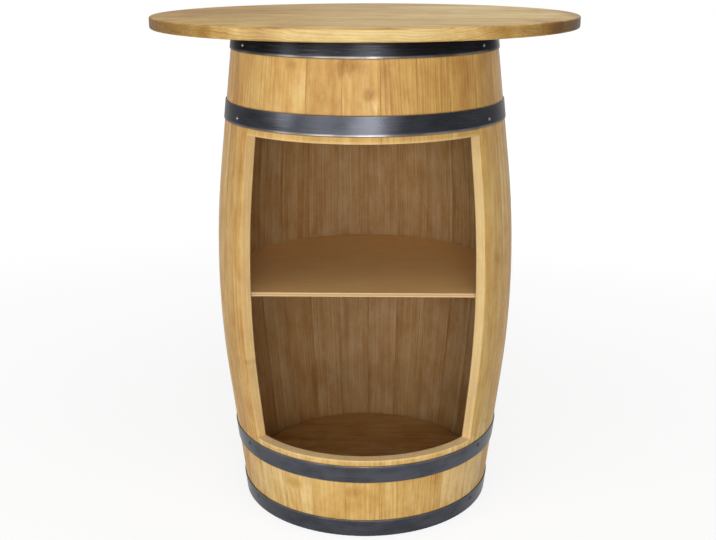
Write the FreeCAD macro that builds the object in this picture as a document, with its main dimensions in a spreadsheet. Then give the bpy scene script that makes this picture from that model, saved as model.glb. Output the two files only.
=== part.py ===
"""Barrel bar cabinet: a coopered barrel with a window cut in its front, one shelf
inside and a round table top.

Frame: +Z up, origin at the centre of the barrel's foot, the window faces -Y.
An azimuth is an angle round +Z, 0 at the front and positive towards +X.
Lengths are in mm and angles in degrees.
"""
import FreeCAD, Part
import os

import Sketcher
from FreeCAD import Vector

doc = FreeCAD.newDocument("barrel_bar_cabinet")


# ---------------------------------------------------------------- driving dimensions

SIZES = [
    # barrel
    ("barrel_height", 800, "stave length, foot to upper rim"),
    ("belly_radius", 247.5, "outside, at half height"),
    ("rim_radius", 211.2, "outside, at both ends"),
    ("bend_height", 362, "height of the curved middle; the ends beyond it are straight"),
    ("stave_thickness", 17, "across the wall"),
    ("stave_count", 25, "staves round the barrel"),
    ("cut_stave_count", 7, "staves cut through for the window"),
    ("window_margin", 10.5, "wood between the window and the hoops above and below it"),
    # hoops
    ("hoop_width", 30, "along the stave"),
    ("hoop_thickness", 1.8, "sheet"),
    ("hoop_edge_radius", 0.8, "rounding of the outer edges"),
    ("upper_head_hoop_inset", 3, "upper rim to the hoop under the table"),
    ("upper_quarter_hoop_inset", 113, "upper rim to the hoop above the window"),
    ("lower_quarter_hoop_inset", 103, "foot to the hoop below the window"),
    ("lower_head_hoop_inset", 0.8, "foot to the lowest hoop"),
    ("lap_length", 64, "overlap of a hoop's ends"),
    ("rivet_spacing", 32, "between the two rivets of a lap"),
    ("rivet_diameter", 5, "shank"),
    ("rivet_head_diameter", 10, "dome"),
    ("rivet_head_height", 2.2, "dome"),
    ("nail_diameter", 2.4, "shank"),
    ("nail_head_diameter", 6.5, "dome"),
    ("nail_head_height", 1.8, "dome"),
    ("nail_croze_gap", 2, "wood between a nail's tip and the croze"),
    ("nail_shift", 4, "from the middle of the hoop towards the belly"),
    # heads
    ("head_inset", 20, "stave end to the head"),
    ("head_thickness", 15, "boards of the head"),
    ("head_board_count", 3, "boards in each head"),
    ("tongue_thickness", 7, "edge of the head that sits in the croze"),
    ("croze_depth", 5, "groove in the staves that holds the head"),
    ("croze_clearance", 0.2, "round the tongue"),
    ("dowel_diameter", 8, "between the head boards"),
    ("dowel_length", 40, "between the head boards"),
    ("dowel_spacing", 150, "between the two dowels of a joint"),
    # table
    ("table_radius", 340, "round top"),
    ("table_thickness", 18, "round top"),
    ("table_edge_radius", 3, "rounding of the upper and lower edge"),
    ("table_board_count", 6, "edge-glued boards"),
    ("batten_width", 50, "between the upper head and the table"),
    ("batten_length", 290, "between the upper head and the table"),
    ("batten_spacing", 180, "centre to centre"),
    ("batten_screw_count", 4, "screws in each batten"),
    ("batten_screw_end", 20, "batten end to its first screw"),
    ("table_screw_cover", 7, "wood above the tip of a table screw"),
    # shelf
    ("shelf_height", 393.5, "foot to the top of the shelf"),
    ("shelf_thickness", 6.5, "plywood"),
    ("shelf_wall_gap", 0.5, "shelf to the staves"),
    ("shelf_window_gap", 6.3, "straight front edge, behind the inside of the window"),
    ("cleat_height", 22, "block under the shelf"),
    ("cleat_depth", 16, "out from the wall"),
    ("cleat_angle", 20, "round the wall"),
    ("cleat_screw_cover", 5, "wood beyond the tip of a cleat screw"),
    # screws
    ("screw_diameter", 4.5, "shank"),
    ("screw_head_diameter", 9, "countersunk"),
    ("screw_head_height", 2.8, "countersunk"),
    ("screw_tip_height", 6, "pointed end"),
    ("hole_clearance", 0.1, "round a shank or dowel"),
    ("hole_spare_depth", 0.5, "beyond the tip of a nail, screw or dowel"),
]

sheet = doc.addObject("Spreadsheet::Sheet", "sizes")
for row, (alias, value, meaning) in enumerate(SIZES, start=1):
    sheet.set(f"A{row}", alias)
    sheet.set(f"B{row}", str(value))
    sheet.set(f"C{row}", meaning)
    sheet.setAlias(f"B{row}", alias)
doc.recompute()

STAVES = int(sheet.stave_count)
CUT_STAVES = int(sheet.cut_stave_count)
HEAD_BOARDS = int(sheet.head_board_count)
TABLE_BOARDS = int(sheet.table_board_count)
BATTEN_SCREWS = int(sheet.batten_screw_count)

# How far a cutting tool reaches past the surface that it cuts.
OVERCUT = 1


# ---------------------------------------------------------------- sketches

ORIGIN = (-1, 1)
HORIZONTAL_AXIS = ORIGIN[0]
START, END, CENTRE = range(1, 4)


def constrain(sketch, kind, *where, formula=None):
    """A constraint, bound to a formula where it has a size."""
    if formula is None:
        sketch.addConstraint(Sketcher.Constraint(kind, *where))
        return
    value = float(sketch.evalExpression(formula))
    index = sketch.addConstraint(Sketcher.Constraint(kind, *where, value))
    sketch.setExpression(f"Constraints[{index}]", formula)


def measure(sketch, name, kind, *where):
    """A reference dimension, which other objects read."""
    index = sketch.addConstraint(Sketcher.Constraint(kind, *where, 1.0))
    sketch.setDriving(index, False)
    sketch.renameConstraint(index, name)


def sketch_on(body, name, role):
    """A sketch on one of the planes of the body's own origin."""
    sketch = body.newObject("Sketcher::SketchObject", name)
    plane = next(plane for plane in body.Origin.OriginFeatures if plane.Role == role)
    sketch.AttachmentSupport = (plane, [""])
    sketch.MapMode = "FlatFace"
    return sketch


def outline(sketch, corners, arcs=None):
    """A closed outline through corners, each a pair of formulas.

    arcs maps the number of a corner to the arc that leaves it instead of a line: its
    centre, its radius and whether it runs counterclockwise.
    """
    arcs = arcs or {}
    points = [value_of(sketch, corner) for corner in corners]
    edges = []
    for number, point in enumerate(points):
        following = points[(number + 1) % len(points)]
        if number not in arcs:
            edges.append((sketch.addGeometry(Part.LineSegment(point, following)), START, END))
            continue
        centre, _, counterclockwise = arcs[number]
        middle = value_of(sketch, centre)
        first, last = (point, following) if counterclockwise else (following, point)
        circle = Part.Circle(middle, Vector(0, 0, 1), (point - middle).Length)
        arc = Part.ArcOfCircle(circle, circle.parameter(first), circle.parameter(last))
        ends = (START, END) if counterclockwise else (END, START)
        edges.append((sketch.addGeometry(arc), *ends))
    for number, (edge, _, end) in enumerate(edges):
        following, start, _ = edges[(number + 1) % len(edges)]
        constrain(sketch, "Coincident", edge, end, following, start)
    for (edge, start, _), (across, up) in zip(edges, corners):
        constrain(sketch, "DistanceX", *ORIGIN, edge, start, formula=across)
        constrain(sketch, "DistanceY", *ORIGIN, edge, start, formula=up)
    for number, (_, radius, _) in arcs.items():
        constrain(sketch, "Radius", edges[number][0], formula=radius)


def value_of(sketch, corner):
    across, up = corner
    return Vector(float(sketch.evalExpression(across)), float(sketch.evalExpression(up)), 0)


# ---------------------------------------------------------------- the barrel's curve

def draw_stave_curve():
    """Outside of a stave seen from the side: an arc with a tangent line at each end."""
    sketch = doc.addObject("Sketcher::SketchObject", "stave_curve")
    middle = sheet.barrel_height / 2
    bend = sheet.bend_height / 2
    belly = Vector(sheet.belly_radius, middle, 0)
    foot = Vector(sheet.rim_radius, 0, 0)
    rim = Vector(sheet.rim_radius, sheet.barrel_height, 0)
    share = (middle - bend) / middle
    bend_start = Vector(foot.x + (belly.x - foot.x) * share, middle - bend, 0)
    bend_end = Vector(bend_start.x, middle + bend, 0)
    lower_line = sketch.addGeometry(Part.LineSegment(foot, bend_start))
    arc = sketch.addGeometry(Part.Arc(bend_start, belly, bend_end))
    upper_line = sketch.addGeometry(Part.LineSegment(bend_end, rim))
    widest = sketch.addGeometry(Part.Point(belly), True)
    constrain(sketch, "Tangent", lower_line, END, arc, START)
    constrain(sketch, "Tangent", arc, END, upper_line, START)
    constrain(sketch, "PointOnObject", lower_line, START, HORIZONTAL_AXIS)
    constrain(sketch, "PointOnObject", widest, START, arc)
    constrain(sketch, "DistanceX", *ORIGIN, lower_line, START, formula="sizes.rim_radius")
    constrain(sketch, "DistanceX", *ORIGIN, upper_line, END, formula="sizes.rim_radius")
    constrain(sketch, "DistanceY", *ORIGIN, upper_line, END, formula="sizes.barrel_height")
    constrain(sketch, "DistanceY", *ORIGIN, arc, CENTRE, formula="sizes.barrel_height / 2")
    constrain(sketch, "DistanceY", arc, START, arc, END, formula="sizes.bend_height")
    constrain(sketch, "DistanceX", *ORIGIN, widest, START, formula="sizes.belly_radius")
    constrain(sketch, "DistanceY", *ORIGIN, widest, START, formula="sizes.barrel_height / 2")
    measure(sketch, "bend_radius", "Radius", arc)
    measure(sketch, "slope", "Angle", lower_line)


draw_stave_curve()
doc.recompute()


def wall_radius(height):
    """Formula of the inside radius of the wall in the barrel's curved middle."""
    rise = f"(({height}) - derived.half_height)"
    reach = "(derived.bend_radius - sizes.stave_thickness)"
    return f"(derived.bend_centre + sqrt({reach} ^ 2 - {rise} ^ 2))"


DERIVED = [
    ("half_height", "sizes.barrel_height / 2"),
    ("pitch", "360 / sizes.stave_count"),
    ("window_half_angle", "derived.pitch * sizes.cut_stave_count / 2"),
    ("taper", "90 - stave_curve.Constraints.slope / 1deg"),
    ("bend_radius", "stave_curve.Constraints.bend_radius / 1mm"),
    ("bend_centre", "sizes.belly_radius - derived.bend_radius"),
    ("inner_rim_radius", "sizes.rim_radius - sizes.stave_thickness / cos(derived.taper)"),
    ("hoop_height", "sizes.hoop_width * cos(derived.taper)"),
    ("window_top_inset",
     "sizes.upper_quarter_hoop_inset + derived.hoop_height + sizes.window_margin"),
    ("sill_height", "sizes.lower_quarter_hoop_inset + derived.hoop_height + sizes.window_margin"),
    ("croze_inset", "sizes.head_inset + sizes.head_thickness / 2"),
    ("croze_mouth_radius", "derived.inner_rim_radius + derived.croze_inset * tan(derived.taper)"),
    ("croze_radius", "derived.croze_mouth_radius + sizes.croze_depth"),
    ("head_radius", "derived.croze_radius - sizes.croze_clearance"),
    ("tongue_length", "sizes.croze_depth + sizes.croze_clearance"
     " + sizes.head_thickness / 2 * tan(derived.taper)"),
    ("nail_depth", "sizes.stave_thickness - sizes.croze_depth - sizes.nail_croze_gap"),
    ("table_screw_bite", "sizes.table_thickness - sizes.table_screw_cover"),
    ("cleat_screw_bite", "sizes.stave_thickness - sizes.cleat_screw_cover"),
    ("table_screw_spacing", "(sizes.batten_length - 2 * sizes.batten_screw_end)"
     " / (sizes.batten_screw_count - 1)"),
    ("shelf_bottom", "sizes.shelf_height - sizes.shelf_thickness"),
    ("shelf_radius", f"min({wall_radius('derived.shelf_bottom')};"
     f" {wall_radius('sizes.shelf_height')}) - sizes.shelf_wall_gap"),
    ("shelf_front", "(sizes.belly_radius - sizes.stave_thickness)"
     " * cos(derived.window_half_angle) - sizes.shelf_window_gap"),
    ("cleat_screw_height", "derived.shelf_bottom - sizes.cleat_height / 2"),
    ("cleat_face_radius", f"{wall_radius('derived.cleat_screw_height')} - sizes.cleat_depth"),
]

derived = doc.addObject("App::VarSet", "derived")
for name, formula in DERIVED:
    derived.addProperty("App::PropertyFloat", name)
    derived.setExpression(name, formula)
    doc.recompute()


# ---------------------------------------------------------------- places

def at(across, along, up, turn_axis="0; 0; 1", turn="0"):
    """Formula of a placement: a point, and a turn about an axis there."""
    return f"placement(vector({across}; {along}; {up}); rotation(vector({turn_axis}); {turn}))"


def turned(azimuth):
    """Formula that carries +X to an azimuth."""
    return at(0, 0, 0, "0; 0; 1", f"({azimuth}) - 90")


# The two ends of the barrel. In an end's frame the height is measured from that end
# into the barrel, and +X still points out from the axis.
LOWER_END = at(0, 0, 0)
UPPER_END = at(0, 0, "sizes.barrel_height", "1; 0; 0", "180")


def on_stave(inset, along=0, lift=0):
    """Radius and height of a point at a stave's straight end, in the end's frame.

    inset is measured up from the end, along follows the slope and lift stands off it.
    """
    radius = (f"sizes.rim_radius + ({inset}) * tan(derived.taper)"
              f" + ({along}) * sin(derived.taper) + ({lift}) * cos(derived.taper)")
    height = f"({inset}) + ({along}) * cos(derived.taper) - ({lift}) * sin(derived.taper)"
    return radius, height


def hoop_seat(inset, along, lift):
    """Placement on a hoop's slope in the end's frame, with +Z pointing out."""
    radius, height = on_stave(inset, along, lift)
    return at(radius, 0, height, "0; 1; 0", "90 + derived.taper")


def stave_azimuth(number):
    """Staves are numbered from 0 at the window's left edge, counted to the right."""
    return f"(({number}) - (sizes.cut_stave_count - 1) / 2) * derived.pitch"


# ---------------------------------------------------------------- shapes

def new_body(label, place=None):
    body = doc.addObject("PartDesign::Body", label)
    body.Label = label
    if place is not None:
        body.setExpression("Placement", place)
    return body


def turn(body, name, corners, arcs=None, angle="360"):
    """Revolve an outline of radii and heights about Z, half to each side of +X."""
    sketch = sketch_on(body, f"{name}_outline", "XZ_Plane")
    outline(sketch, corners, arcs)
    revolution = body.newObject("PartDesign::Revolution", name)
    revolution.Profile = sketch
    revolution.ReferenceAxis = (sketch, ["V_Axis"])
    revolution.Midplane = True
    revolution.setExpression("Angle", angle)
    sketch.Visibility = False


def pad(body, name, corners, height, arcs=None):
    """Raise an outline of the XY plane."""
    sketch = sketch_on(body, f"{name}_outline", "XY_Plane")
    outline(sketch, corners, arcs)
    feature = body.newObject("PartDesign::Pad", name)
    feature.Profile = sketch
    feature.setExpression("Length", height)
    sketch.Visibility = False


def bore(body, name, diameter, depth, seat):
    """A round hole down from a seat, against the seat's +Z.

    The cutting cylinder's seam is turned away from the planes of symmetry.
    """
    hole = body.newObject("PartDesign::SubtractiveCylinder", name)
    hole.setExpression("Radius", f"({diameter}) / 2 + sizes.hole_clearance")
    hole.setExpression("Height", f"({depth}) + {OVERCUT}")
    hole.setExpression("Placement", f"{seat} * {at(0, 0, f'-({depth})', turn=45)}")


def countersink(body, name, seat):
    """A cone for the head of a countersunk screw, wide end at the seat."""
    cone = body.newObject("PartDesign::SubtractiveCone", name)
    cone.setExpression("Radius1", "sizes.screw_diameter / 2 + sizes.hole_clearance")
    cone.setExpression("Radius2", "sizes.screw_head_diameter / 2 + sizes.hole_clearance")
    cone.setExpression("Height", "sizes.screw_head_height")
    cone.setExpression("Placement", f"{seat} * {at(0, 0, '-sizes.screw_head_height')}")


def saw_off(body, name, corner, size):
    """Remove a box, given by its lowest corner and its size."""
    box = body.newObject("PartDesign::SubtractiveBox", name)
    for side, formula in zip(("Length", "Width", "Height"), size):
        box.setExpression(side, formula)
    box.setExpression("Placement", at(*corner))


def domed_fastener(name, place, head_diameter, head_height, diameter, length):
    """A nail or rivet with a domed head, the head's underside at the origin."""
    body = new_body(name, place)
    dome = f"((({head_diameter}) / 2) ^ 2 + ({head_height}) ^ 2) / (2 * ({head_height}))"
    corners = [
        ("0", f"-({length})"),
        (f"({diameter}) / 2", f"-({length})"),
        (f"({diameter}) / 2", "0"),
        (f"({head_diameter}) / 2", "0"),
        ("0", head_height),
    ]
    turn(body, "turned", corners, {3: (("0", f"({head_height}) - {dome}"), dome, True)})
    return body


def screw(name, place, length):
    """A countersunk screw, the top of its head at the origin."""
    body = new_body(name, place)
    corners = [
        ("0", f"-({length})"),
        ("sizes.screw_diameter / 2", f"sizes.screw_tip_height - ({length})"),
        ("sizes.screw_diameter / 2", "-sizes.screw_head_height"),
        ("sizes.screw_head_diameter / 2", "0"),
        ("0", "0"),
    ]
    turn(body, "turned", corners)
    return body


# ---------------------------------------------------------------- staves

# Hoops are nailed to the jamb staves and to a stave this far round from each.
REAR_NAIL_STEP = 5
NAILED_STAVES = [
    CUT_STAVES, CUT_STAVES + REAR_NAIL_STEP, STAVES - 1 - REAR_NAIL_STEP, STAVES - 1,
]

# Each cleat spans the joint after its stave.
CLEATS = {
    "right_shelf_cleat": CUT_STAVES + 1,
    "rear_shelf_cleat": CUT_STAVES + (STAVES - CUT_STAVES) // 2 - 1,
    "left_shelf_cleat": STAVES - 3,
}
CLEATED_STAVES = [stave + step for stave in CLEATS.values() for step in (0, 1)]

HOOPS = {
    "upper_head_hoop": (UPPER_END, "sizes.upper_head_hoop_inset"),
    "upper_quarter_hoop": (UPPER_END, "sizes.upper_quarter_hoop_inset"),
    "lower_quarter_hoop": (LOWER_END, "sizes.lower_quarter_hoop_inset"),
    "lower_head_hoop": (LOWER_END, "sizes.lower_head_hoop_inset"),
}
NAIL_ALONG = "(sizes.hoop_width / 2 + sizes.nail_shift)"


def stave_blank(label, place):
    """A whole stave with the croze cut across its inside near both ends."""
    body = new_body(label, place)
    bend_centre = ("derived.bend_centre", "derived.half_height")
    inner_radius = "(derived.bend_radius - sizes.stave_thickness)"
    outer_across = "derived.bend_centre + derived.bend_radius * cos(derived.taper)"
    outer_rise = "derived.bend_radius * sin(derived.taper)"
    inner_across = f"derived.bend_centre + {inner_radius} * cos(derived.taper)"
    inner_rise = f"{inner_radius} * sin(derived.taper)"
    corners = [
        ("sizes.rim_radius", "0"),
        (outer_across, f"derived.half_height - {outer_rise}"),
        (outer_across, f"derived.half_height + {outer_rise}"),
        ("sizes.rim_radius", "sizes.barrel_height"),
        ("derived.inner_rim_radius", "sizes.barrel_height"),
        (inner_across, f"derived.half_height + {inner_rise}"),
        (inner_across, f"derived.half_height - {inner_rise}"),
        ("derived.inner_rim_radius", "0"),
    ]
    arcs = {
        1: (bend_centre, "derived.bend_radius", True),
        5: (bend_centre, inner_radius, False),
    }
    turn(body, "stave", corners, arcs, "derived.pitch")
    cut_croze(body)
    return body


def cut_croze(body):
    sketch = sketch_on(body, "croze_outline", "XZ_Plane")
    inside = f"derived.inner_rim_radius - {OVERCUT}"
    half_width = "(sizes.tongue_thickness / 2 + sizes.croze_clearance)"
    for middle in ("derived.croze_inset", "(sizes.barrel_height - derived.croze_inset)"):
        outline(sketch, [
            (inside, f"{middle} - {half_width}"),
            ("derived.croze_radius", f"{middle} - {half_width}"),
            ("derived.croze_radius", f"{middle} + {half_width}"),
            (inside, f"{middle} + {half_width}"),
        ])
    groove = body.newObject("PartDesign::Groove", "croze")
    groove.Profile = sketch
    groove.ReferenceAxis = (sketch, ["V_Axis"])
    groove.Midplane = True
    groove.setExpression("Angle", "2 * derived.pitch")
    sketch.Visibility = False


def full_stave(number):
    label = f"stave_{number - CUT_STAVES + 1:02d}"
    body = stave_blank(label, turned(stave_azimuth(number)))
    if number in NAILED_STAVES:
        for hoop, (end, inset) in HOOPS.items():
            seat = f"{end} * {hoop_seat(inset, NAIL_ALONG, 0)}"
            depth = "derived.nail_depth + sizes.hole_spare_depth"
            bore(body, f"{hoop}_nail_hole", "sizes.nail_diameter", depth, seat)
    if number in CLEATED_STAVES:
        wall = wall_radius("derived.cleat_screw_height")
        seat = at(wall, 0, "derived.cleat_screw_height", "0; 1; 0", "-90")
        depth = "derived.cleat_screw_bite + sizes.hole_spare_depth"
        bore(body, "cleat_screw_hole", "sizes.screw_diameter", depth, seat)
    return body


def short_stave(end_name, end, length, number):
    """What is left of a stave between the window and one end of the barrel."""
    place = f"{turned(stave_azimuth(number))} * {end}"
    body = stave_blank(f"{end_name}_short_stave_{number + 1}", place)
    corner = (0, "-sizes.belly_radius", length)
    rest = f"sizes.barrel_height - {length} + {OVERCUT}"
    saw_off(body, "window", corner, ("sizes.belly_radius * 2", "sizes.belly_radius * 2", rest))
    return body


# ---------------------------------------------------------------- hoops

# A hoop's own +X points to its lap, at the back of the barrel.
LAP_AZIMUTH = 180


def hoop_outline(inset, lift):
    """Section of the strip at a lift off the wood, its outer edges rounded."""
    width = "sizes.hoop_width"
    edge = "sizes.hoop_edge_radius"
    top = f"({lift}) + sizes.hoop_thickness"
    shoulder = f"{top} - {edge}"
    corners = [
        on_stave(inset, 0, lift),
        on_stave(inset, 0, shoulder),
        on_stave(inset, edge, top),
        on_stave(inset, f"{width} - {edge}", top),
        on_stave(inset, width, shoulder),
        on_stave(inset, width, lift),
    ]
    arcs = {
        1: (on_stave(inset, edge, shoulder), edge, True),
        3: (on_stave(inset, f"{width} - {edge}", shoulder), edge, True),
    }
    return corners, arcs


def arc_angle(length):
    """Formula of the angle that a length covers round the upper or lower rim."""
    return f"({length}) / sizes.rim_radius * 180 / pi"


def rivet_turns():
    half = arc_angle("sizes.rivet_spacing / 2")
    return [f"-({half})", half]


def hoop(label, end, inset):
    body = new_body(label, f"{turned(LAP_AZIMUTH)} * {end}")
    turn(body, "strip", *hoop_outline(inset, "0"))
    turn(body, "lap", *hoop_outline(inset, "sizes.hoop_thickness"), arc_angle("sizes.lap_length"))
    nail_seat = hoop_seat(inset, NAIL_ALONG, "sizes.hoop_thickness")
    for number in NAILED_STAVES:
        place = at(0, 0, 0, "0; 0; 1", f"{stave_azimuth(number)} - {LAP_AZIMUTH}")
        bore(body, f"nail_hole_{number}", "sizes.nail_diameter",
             f"sizes.hoop_thickness + {OVERCUT}", f"{place} * {nail_seat}")
    rivet_seat = hoop_seat(inset, "sizes.hoop_width / 2", "2 * sizes.hoop_thickness")
    for number, angle in enumerate(rivet_turns()):
        bore(body, f"rivet_hole_{number + 1}", "sizes.rivet_diameter",
             f"2 * sizes.hoop_thickness + {OVERCUT}",
             f"{at(0, 0, 0, '0; 0; 1', angle)} * {rivet_seat}")
    return body


def hoop_nails():
    nails = []
    for name, (end, inset) in HOOPS.items():
        seat = hoop_seat(inset, NAIL_ALONG, "sizes.hoop_thickness")
        for number in NAILED_STAVES:
            place = f"{turned(stave_azimuth(number))} * {end} * {seat}"
            nails.append(domed_fastener(
                f"{name}_nail_{number}", place, "sizes.nail_head_diameter",
                "sizes.nail_head_height", "sizes.nail_diameter",
                "sizes.hoop_thickness + derived.nail_depth"))
    return nails


def hoop_rivets():
    rivets = []
    for name, (end, inset) in HOOPS.items():
        seat = hoop_seat(inset, "sizes.hoop_width / 2", "2 * sizes.hoop_thickness")
        for number, angle in enumerate(rivet_turns()):
            place = f"{turned(f'{LAP_AZIMUTH} + {angle}')} * {end} * {seat}"
            rivets.append(domed_fastener(
                f"{name}_rivet_{number + 1}", place, "sizes.rivet_head_diameter",
                "sizes.rivet_head_height", "sizes.rivet_diameter",
                "2 * sizes.hoop_thickness"))
    return rivets


# ---------------------------------------------------------------- heads and table top

def board_edge(number, count, radius):
    """Formula of the Y of the front edge of a board in a disc of equal boards."""
    return f"({radius}) * (2 * {number} / {count} - 1)"


def saw_to_board(body, number, count, radius, thickness):
    """Cut a disc down to one board, number 0 being the one at the front."""
    low = board_edge(number, count, radius)
    high = board_edge(number + 1, count, radius)
    left = f"-({radius}) - {OVERCUT}"
    width = f"2 * ({radius}) + 2 * {OVERCUT}"
    height = f"{thickness} + 2 * {OVERCUT}"
    if number > 0:
        depth = f"{low} - ({left})"
        saw_off(body, "front_of_disc", (left, left, -OVERCUT), (width, depth, height))
    if number < count - 1:
        depth = f"{radius} + {OVERCUT} - ({high})"
        saw_off(body, "rear_of_disc", (left, high, -OVERCUT), (width, depth, height))


def screw_places():
    """X and Y of the screws that hold the table, as formulas."""
    places = []
    for side in (-1, 1):
        across = f"{side} * sizes.batten_spacing / 2"
        places.extend((across, screw_along(number)) for number in range(BATTEN_SCREWS))
    return places


def screw_along(number):
    """Y of a screw in a batten, counted from the batten's front end."""
    start = "sizes.batten_screw_end - sizes.batten_length / 2"
    return f"{start} + {number} * derived.table_screw_spacing"


def within(body, place, number, count, radius):
    """Whether a screw goes through this board."""
    low = body.evalExpression(board_edge(number, count, radius))
    high = body.evalExpression(board_edge(number + 1, count, radius))
    return low < body.evalExpression(place[1]) < high


def head_board(label, end, number):
    """One board of a head: full thickness inside, a tongue round the edge."""
    body = new_body(label, f"{end} * {at(0, 0, 'sizes.head_inset')}")
    radius = "derived.head_radius"
    shoulder = "derived.head_radius - derived.tongue_length"
    thickness = "sizes.head_thickness"
    step = "(sizes.head_thickness - sizes.tongue_thickness) / 2"
    turn(body, "disc", [
        ("0", "0"),
        (shoulder, "0"),
        (shoulder, step),
        (radius, step),
        (radius, f"{thickness} - {step}"),
        (shoulder, f"{thickness} - {step}"),
        (shoulder, thickness),
        ("0", thickness),
    ])
    saw_to_board(body, number, HEAD_BOARDS, radius, thickness)
    if number > 0:
        bore_for_dowels(body, "front", number, 90)
    if number < HEAD_BOARDS - 1:
        bore_for_dowels(body, "rear", number + 1, -90)
    return body


def dowel_seats(joint, turn_angle):
    """Middle of each dowel of a joint, in the head's frame."""
    along = board_edge(joint, HEAD_BOARDS, "derived.head_radius")
    return [at(f"{side} * sizes.dowel_spacing / 2", along, "sizes.head_thickness / 2",
               "1; 0; 0", turn_angle) for side in (-1, 1)]


def bore_for_dowels(body, edge, joint, turn_angle):
    for number, seat in enumerate(dowel_seats(joint, turn_angle)):
        bore(body, f"{edge}_dowel_hole_{number + 1}", "sizes.dowel_diameter",
             "sizes.dowel_length / 2 + sizes.hole_spare_depth", seat)


def bore_for_screws(body, number):
    """Countersunk holes for the table's screws through a board of the upper head."""
    for index, place in enumerate(screw_places()):
        if within(body, place, number, HEAD_BOARDS, "derived.head_radius"):
            seat = at(*place, "sizes.head_thickness")
            bore(body, f"screw_hole_{index + 1}", "sizes.screw_diameter",
                 f"sizes.head_thickness + {OVERCUT}", seat)
            countersink(body, f"countersink_{index + 1}", seat)


def head_dowels():
    dowels = []
    half = "sizes.dowel_length / 2"
    for end_name, end in (("upper", UPPER_END), ("lower", LOWER_END)):
        for joint in range(1, HEAD_BOARDS):
            for side, seat in enumerate(dowel_seats(joint, 90)):
                place = f"{end} * {at(0, 0, 'sizes.head_inset')} * {seat}"
                body = new_body(f"{end_name}_dowel_{joint}_{side + 1}", place)
                turn(body, "rod", [
                    ("0", f"-{half}"),
                    ("sizes.dowel_diameter / 2", f"-{half}"),
                    ("sizes.dowel_diameter / 2", half),
                    ("0", half),
                ])
                dowels.append(body)
    return dowels


def table_board(number):
    body = new_body(f"table_board_{number + 1}", at(0, 0, "sizes.barrel_height"))
    radius = "sizes.table_radius"
    thickness = "sizes.table_thickness"
    edge = "sizes.table_edge_radius"
    corners = [
        ("0", "0"),
        (f"{radius} - {edge}", "0"),
        (radius, edge),
        (radius, f"{thickness} - {edge}"),
        (f"{radius} - {edge}", thickness),
        ("0", thickness),
    ]
    arcs = {
        1: ((f"{radius} - {edge}", edge), edge, True),
        3: ((f"{radius} - {edge}", f"{thickness} - {edge}"), edge, True),
    }
    turn(body, "disc", corners, arcs)
    saw_to_board(body, number, TABLE_BOARDS, radius, thickness)
    for index, place in enumerate(screw_places()):
        if within(body, place, number, TABLE_BOARDS, radius):
            seat = at(*place, 0, "1; 0; 0", "180")
            bore(body, f"screw_hole_{index + 1}", "sizes.screw_diameter",
                 "derived.table_screw_bite + sizes.hole_spare_depth", seat)
    return body


def batten(label, side):
    """Fills the space between the upper head and the table."""
    across = f"{side} * sizes.batten_spacing / 2"
    body = new_body(label, at(across, 0, "sizes.barrel_height - sizes.head_inset"))
    half_width = "sizes.batten_width / 2"
    half_length = "sizes.batten_length / 2"
    pad(body, "bar", [
        (f"-{half_width}", f"-{half_length}"),
        (half_width, f"-{half_length}"),
        (half_width, half_length),
        (f"-{half_width}", half_length),
    ], "sizes.head_inset")
    for number in range(BATTEN_SCREWS):
        seat = at(0, screw_along(number), "sizes.head_inset")
        bore(body, f"screw_hole_{number + 1}", "sizes.screw_diameter",
             f"sizes.head_inset + {OVERCUT}", seat)
    return body


def table_screws():
    length = "sizes.head_thickness + sizes.head_inset + derived.table_screw_bite"
    height = "sizes.head_inset + sizes.head_thickness"
    return [screw(f"table_screw_{number + 1}", f"{UPPER_END} * {at(*place, height)}", length)
            for number, place in enumerate(screw_places())]


# ---------------------------------------------------------------- shelf

def shelf():
    """Round at the back and sides, straight across the window."""
    body = new_body("shelf", at(0, 0, "derived.shelf_bottom"))
    half_front = "sqrt(derived.shelf_radius ^ 2 - derived.shelf_front ^ 2)"
    corners = [(f"-{half_front}", "-derived.shelf_front"), (half_front, "-derived.shelf_front")]
    arcs = {1: (("0", "0"), "derived.shelf_radius", True)}
    pad(body, "board", corners, "sizes.shelf_thickness", arcs)
    return body


def cleat_place(stave):
    """+X at the joint after a stave."""
    return turned(stave_azimuth(f"{stave} + 0.5"))


def cleat_screw_seat(side):
    """On the cleat's face, half a stave to one side, with +Z pointing to the axis."""
    turn_part = at(0, 0, 0, "0; 0; 1", f"{side} * derived.pitch / 2")
    seat = at("derived.cleat_face_radius", 0, "derived.cleat_screw_height", "0; 1; 0", "-90")
    return f"{turn_part} * {seat}"


def cleat(label, stave):
    """A block cut to the wall's curve."""
    body = new_body(label, cleat_place(stave))
    bottom = "derived.shelf_bottom - sizes.cleat_height"
    turn(body, "block", [
        ("derived.cleat_face_radius", bottom),
        (wall_radius(bottom), bottom),
        (wall_radius("derived.shelf_bottom"), "derived.shelf_bottom"),
        ("derived.cleat_face_radius", "derived.shelf_bottom"),
    ], angle="sizes.cleat_angle")
    for side in (-1, 1):
        name = "left" if side < 0 else "right"
        bore(body, f"{name}_screw_hole", "sizes.screw_diameter",
             f"sizes.cleat_depth + {OVERCUT}", cleat_screw_seat(side))
        countersink(body, f"{name}_countersink", cleat_screw_seat(side))
    return body


def cleat_screws():
    length = "sizes.cleat_depth + derived.cleat_screw_bite"
    return [screw(f"{label}_screw_{side}", f"{cleat_place(stave)} * {cleat_screw_seat(side)}", length)
            for label, stave in CLEATS.items() for side in (-1, 1)]


# ---------------------------------------------------------------- the sub-parts

def group(label, pieces):
    """Identical fasteners under one label."""
    compound = doc.addObject("Part::Compound", label)
    compound.Label = label
    compound.Links = pieces
    return compound


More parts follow.
